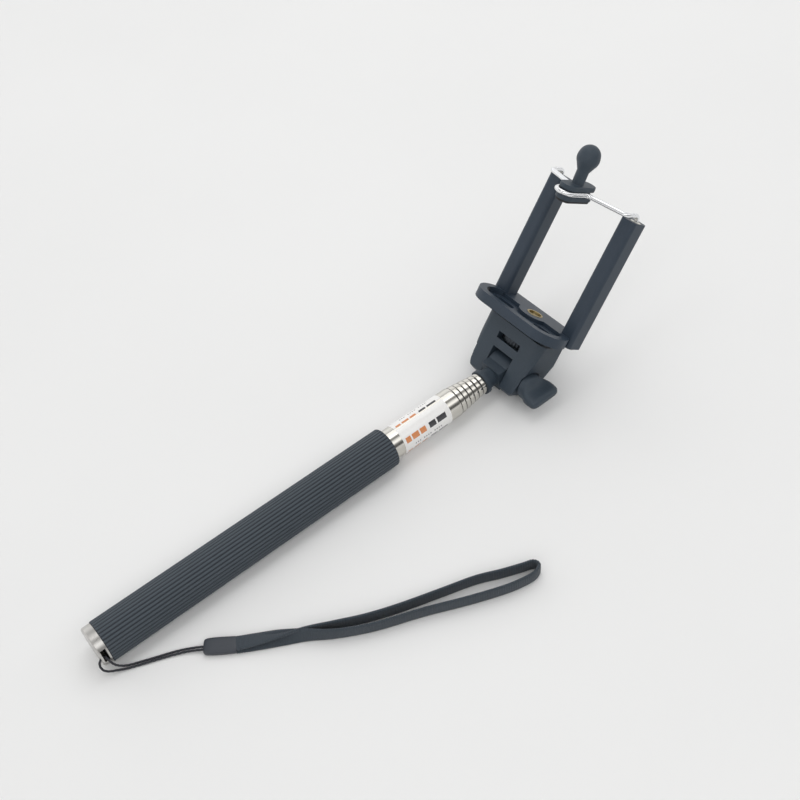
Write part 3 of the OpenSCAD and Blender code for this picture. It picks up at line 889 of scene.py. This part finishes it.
slate = moulded("slate_plastic", (0.028, 0.042, 0.058), (0.05, 0.068, 0.088))
post_slate = moulded("post_plastic", (0.02, 0.033, 0.051), (0.036, 0.053, 0.078), gloss=0.36)
ferrule_slate = moulded("crimp_plastic", (0.038, 0.044, 0.055), (0.055, 0.062, 0.074), gloss=0.3)
soft_black = moulded("soft_rubber", (0.016, 0.017, 0.019), (0.035, 0.037, 0.04), gloss=0.62, grain=0.04)
nylon = moulded("nylon", (0.66, 0.64, 0.58), (0.74, 0.73, 0.68), gloss=0.5, grain=0.01)
print("plastic finishes ready")

# %% [markdown]
# ## Ribbed rubber
# The grip is duller than the plastic. Its crests are polished by the hand and so are a
# little glossier, and the grooves are painted darker than the crests as painted shade, which
# the distance from the stick's middle line picks out.


# %% Grip finish
def ribbed_rubber():
    f = new_finish("ribbed_rubber")
    middle = (-STICK_X * MM, 0, -STICK_HEIGHT * MM)
    moved = f.node("ShaderNodeVectorMath", {"operation": "ADD"}, {0: f.here(), 1: middle})
    round_only = f.node("ShaderNodeVectorMath", {"operation": "MULTIPLY"}, {0: moved, 1: (1, 0, 1)})
    out = f.node("ShaderNodeVectorMath", {"operation": "LENGTH"}, {0: round_only}, "Value")
    crest = (out - 9.55 * MM) * 2200.0
    scuffs = f.noise(60, (1, 0.25, 1), detail=5.0)
    specks = f.noise(1800, detail=2.0)
    # Painted shade: the grooves get a darker colour than the crests
    groove_shade = f.between(scuffs, (0.016, 0.021, 0.028), (0.026, 0.032, 0.041))
    top = f.between(scuffs, (0.044, 0.058, 0.072), (0.062, 0.078, 0.094))
    base = f.between(crest, groove_shade, top)
    rough = 0.66 - crest * 0.1 + specks * 0.06
    sockets = {"Base Color": base, "Roughness": rough, "Specular IOR Level": 0.45}
    return f.surface(sockets, specks, 0.03 * MM)


grip_finish = ribbed_rubber()
print("grip finish ready")

# %% [markdown]
# ## Steel
# Drawn stainless tube keeps faint lines along its length from the die, and fingers leave
# dull patches. A thin dark line is painted where each section leaves the one before it: it
# is painted shade in the gap at each mouth. Turned steel parts have finer, rounder marks.
# Both are bare metal, so the colour sits in the reflection, and roughness carries most of
# the character.


# %% Steel finishes
# How much of the step from one mouth to the next is painted dark, as shade in the gap at the mouth
MOUTH_SHADE_SHARE = 0.13


def drawn_steel():
    f = new_finish("drawn_steel")
    lines = f.noise(1.0, (900, 9, 900), detail=4.0, rough=0.65)
    bands = f.noise(1.0, (260, 3, 260), detail=2.0)
    smears = f.noise(70, (1, 0.4, 1), detail=4.0)
    along = f.node("ShaderNodeSeparateXYZ", {}, {0: f.here()}, 1)
    pitches = (along - (CAP_END + FIRST_MOUTH) * MM) * (1 / (MOUTH_PITCH * MM))
    past = f.maths("FRACT", pitches, 0.0)
    # Painted shade: a thin dark, rougher ring just past each mouth, where the gap lies in shadow
    mouth_shade = (past < MOUTH_SHADE_SHARE) * (pitches > -0.5) * (pitches < SECTIONS - 1.5)
    clean = f.between(bands * 0.6 + lines * 0.4, (0.47, 0.455, 0.415), (0.74, 0.72, 0.67))
    base = f.between(mouth_shade, clean, (0.05, 0.048, 0.04))
    rough = 0.07 + lines * 0.06 + smears * 0.05 + mouth_shade * 0.3
    return f.surface({"Base Color": base, "Roughness": rough, "Metallic": 1.0}, lines, 0.003 * MM)


def turned_steel(name, dark, light, rough_from):
    f = new_finish(name)
    marks = f.noise(900, detail=3.0)
    smears = f.noise(120, detail=4.0)
    base = f.between(smears, dark, light)
    rough = rough_from + marks * 0.08 + smears * 0.12
    return f.surface({"Base Color": base, "Roughness": rough, "Metallic": 1.0}, marks, 0.004 * MM)


tube_steel = drawn_steel()
small_steel = turned_steel("turned_steel", (0.42, 0.41, 0.39), (0.62, 0.61, 0.59), 0.2)
wire_chrome = turned_steel("wire_chrome", (0.74, 0.75, 0.77), (0.86, 0.87, 0.88), 0.05)
warm_brass = turned_steel("warm_brass", (0.26, 0.2, 0.09), (0.44, 0.34, 0.16), 0.26)


def blackened_steel():
    """Steel with a thin black oxide, worn a little towards bare metal."""
    f = new_finish("blackened_steel")
    wear = f.noise(700, detail=4.0)
    base = f.between(wear, (0.012, 0.015, 0.02), (0.06, 0.07, 0.082))
    return f.surface({"Base Color": base, "Roughness": 0.3 + wear * 0.15, "Metallic": 0.6}, wear, 0.01 * MM)


wheel_black = blackened_steel()
print("metal finishes ready")

# %% [markdown]
# ## The printed label
# The label is paper under a clear glossy film, printed with plain bars in place of words: a
# row of large ones, first warm and then dark, and a row of small grey ones under it. The
# rows repeat round the tube. Each bar is the part of the map between four edges.


# %% Label finish
LABEL_ROWS = 6
FIRST_ROW = -0.005


def printed_paper():
    f = new_finish("printed_paper")
    u, v = f.mapped("printing")
    fibres = f.noise(900, detail=4.0)
    ink_spread = (f.noise(1400, detail=2.0) - 0.5) * 0.012
    along = u + ink_spread

    def bar(left, right, low, high):
        return (along > left) * (along < right) * (v > low) * (v < high)

    def row(low, high, bars):
        inked = 0.0
        for left, right in bars:
            inked = bar(left, right, low, high) + inked
        return inked

    warm = 0.0
    dark = 0.0
    small = 0.0
    for k in range(LABEL_ROWS):
        low = (FIRST_ROW + k / LABEL_ROWS) % 1.0
        warm = row(low - 0.03, low + 0.03, [(0.05, 0.15), (0.18, 0.32), (0.35, 0.47)]) + warm
        dark = row(low - 0.03, low + 0.03, [(0.54, 0.68), (0.71, 0.9)]) + dark
        dots = [(0.2 + 0.045 * i, 0.225 + 0.045 * i) for i in range(14) if i % 5 != 3]
        small = row(low + 0.078, low + 0.096, dots) + small
    paper = f.between(fibres, (0.80, 0.79, 0.77), (0.88, 0.87, 0.86))
    once = f.between(warm, paper, (0.66, 0.25, 0.09))
    twice = f.between(dark, once, (0.035, 0.035, 0.04))
    base = f.between(small, twice, (0.25, 0.25, 0.26))
    sockets = {"Base Color": base, "Roughness": 0.3 + fibres * 0.08}
    sockets.update({"Coat Weight": 0.6, "Coat Roughness": 0.08})
    return f.surface(sockets, fibres, 0.01 * MM)


label_finish = printed_paper()
print("label finish ready")

# %% [markdown]
# ## String and strap
# The string's plies are soft and nearly black. The strap is a plain weave seen close: the
# weft makes ribs across the band and the warp makes columns along it, so two sine waves
# multiplied give the small raised knots, and fuzz breaks them up. On the strap the knots are
# lighter and the hollows between them darker, which is painted shade.


# %% Fibre finishes
def fibre(name, dark, light, knots, depth):
    """A matt textile finish, with raised knots from a map or from plain fuzz."""
    f = new_finish(name)
    fuzz = f.noise(2600, detail=3.0)
    wear = f.noise(55, detail=4.0)
    raised = knots(f) * 0.7 + fuzz * 0.3 if knots else fuzz
    # On the strap the knots' height also sets the colour, so the weave's hollows are painted shade
    base = f.between(raised * 0.7 + wear * 0.3, dark, light)
    sockets = {"Base Color": base, "Roughness": 0.82 + fuzz * 0.1, "Sheen Weight": 0.12}
    sockets["Sheen Roughness"] = 0.5
    return f.surface(sockets, raised, depth * MM)


def weave_knots(f):
    u, v = f.mapped("weave")
    ribs = (u * (2 * math.pi / WEFT_PITCH)).wave()
    columns = (v * (2 * math.pi / 0.75)).wave()
    return ribs * columns * 0.5 + 0.5


string_finish = fibre("string_fibre", (0.014, 0.015, 0.02), (0.04, 0.042, 0.052), None, 0.03)
strap_finish = fibre("strap_weave", (0.014, 0.02, 0.027), (0.062, 0.078, 0.096), weave_knots, 0.12)
print("fibre finishes ready")

# %% [markdown]
# ## Every piece gets its finish
# The finishes are handed out by the slot names that the frame's record gives each solid, so
# nothing is left bare, also not the pieces that only show when the stick is opened.

# %% Hand out the finishes
FINISH_OF_SLOT = {
    "steel_tube": tube_steel,
    "steel_small": small_steel,
    "black_steel": wheel_black,
    "chrome_wire": wire_chrome,
    "brass": warm_brass,
    "slate_plastic": slate,
    "post_plastic": post_slate,
    "nylon": nylon,
    "grip_rubber": grip_finish,
    "soft_black": soft_black,
    "paper": label_finish,
    "cord": string_finish,
    "webbing": strap_finish,
    "ferrule_plastic": ferrule_slate,
}


def dress(piece, finish):
    piece.data.materials.clear()
    piece.data.materials.append(finish)


for entry in frame["record"]["subparts"]:
    dress(frame["nodes"][entry["node"]], FINISH_OF_SLOT[entry["material_slot"]])
dressed = 0
for piece in bpy.context.scene.objects:
    if "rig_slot" in piece:
        dress(piece, FINISH_OF_SLOT[piece["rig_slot"]])
        dressed += 1
print("dressed:", dressed, "made pieces and", len(frame["nodes"]), "solids")

# %% [markdown]
# ## Table and light
# The stick lies on a smooth pale table under a broad soft light, with a second, weaker one
# to the side. The sky is a row of bright and dark strips, because bare steel needs both to
# reflect or it looks like white paint.

# %% Stage
TABLE_HALF = 3.0


def draw_table():
    corners = [(-1, -1), (1, -1), (1, 1), (-1, 1)]
    mesh = bpy.data.meshes.new("table")
    mesh.from_pydata([(x * TABLE_HALF, y * TABLE_HALF, 0) for x, y in corners], [], [(0, 1, 2, 3)])
    table = bpy.data.objects.new("table", mesh)
    bpy.context.scene.collection.objects.link(table)
    f = new_finish("pale_table")
    mottle = f.noise(6, detail=5.0)
    base = f.between(mottle, (0.80, 0.80, 0.795), (0.84, 0.84, 0.835))
    mesh.materials.append(f.surface({"Base Color": base, "Roughness": 0.6, "Specular IOR Level": 0.3}))
    return table


table = draw_table()


def soft_light(name, place, aim, size, power):
    lamp = bpy.data.lights.new(name, "AREA")
    lamp.shape = "DISK"
    lamp.size = size
    lamp.energy = power
    light = bpy.data.objects.new(name, lamp)
    bpy.context.scene.collection.objects.link(light)
    light.location = place
    light.rotation_euler = (Vector(aim) - Vector(place)).to_track_quat("-Z", "Y").to_euler()
    return light


key = soft_light("key", (-0.5, 0.5, 1.3), (0, 0, 0), 1.1, 3.5)
fill = soft_light("fill", (0.9, -0.6, 1.0), (0, 0, 0), 1.2, 1.5)


# Each is a share of the half turn from one horizon over the top to the other, and how bright
SKY_BANDS = [
    (0.0, 0.75), (0.05, 0.65), (0.08, 0.1), (0.16, 0.14), (0.2, 0.4), (0.25, 1.3), (0.32, 1.2),
    (0.37, 0.7), (0.415, 0.24), (0.45, 0.3), (0.51, 1.15), (0.55, 1.15), (0.59, 0.5), (0.7, 0.35),
    (0.85, 0.9), (1.0, 0.95),
]


def draw_sky(strength):
    """A studio world with bright and dark strips that run the same way as the stick."""
    world = bpy.data.worlds.new("studio")
    bpy.context.scene.world = world
    f = Finish(world)
    where = f.node("ShaderNodeTexCoord", {}, {}, "Generated")
    across = f.node("ShaderNodeSeparateXYZ", {}, {0: where}, 0)
    height = f.node("ShaderNodeSeparateXYZ", {}, {0: where}, 2)
    share = f.maths("DIVIDE", f.maths("ARCTAN2", height, across), math.pi)
    strips = [(place, (level, level, level)) for place, level in SKY_BANDS]
    light = f.node("ShaderNodeValToRGB", {"stops": strips}, {0: share})
    glow = f.node("ShaderNodeBackground", {}, {"Color": light, "Strength": strength})
    end = f.tree.nodes.new("ShaderNodeOutputWorld")
    f.feed(end.inputs["Surface"], glow)


draw_sky(1.26)
bpy.context.scene.view_settings.view_transform = "Standard"
print("lights:", key.name, fill.name)
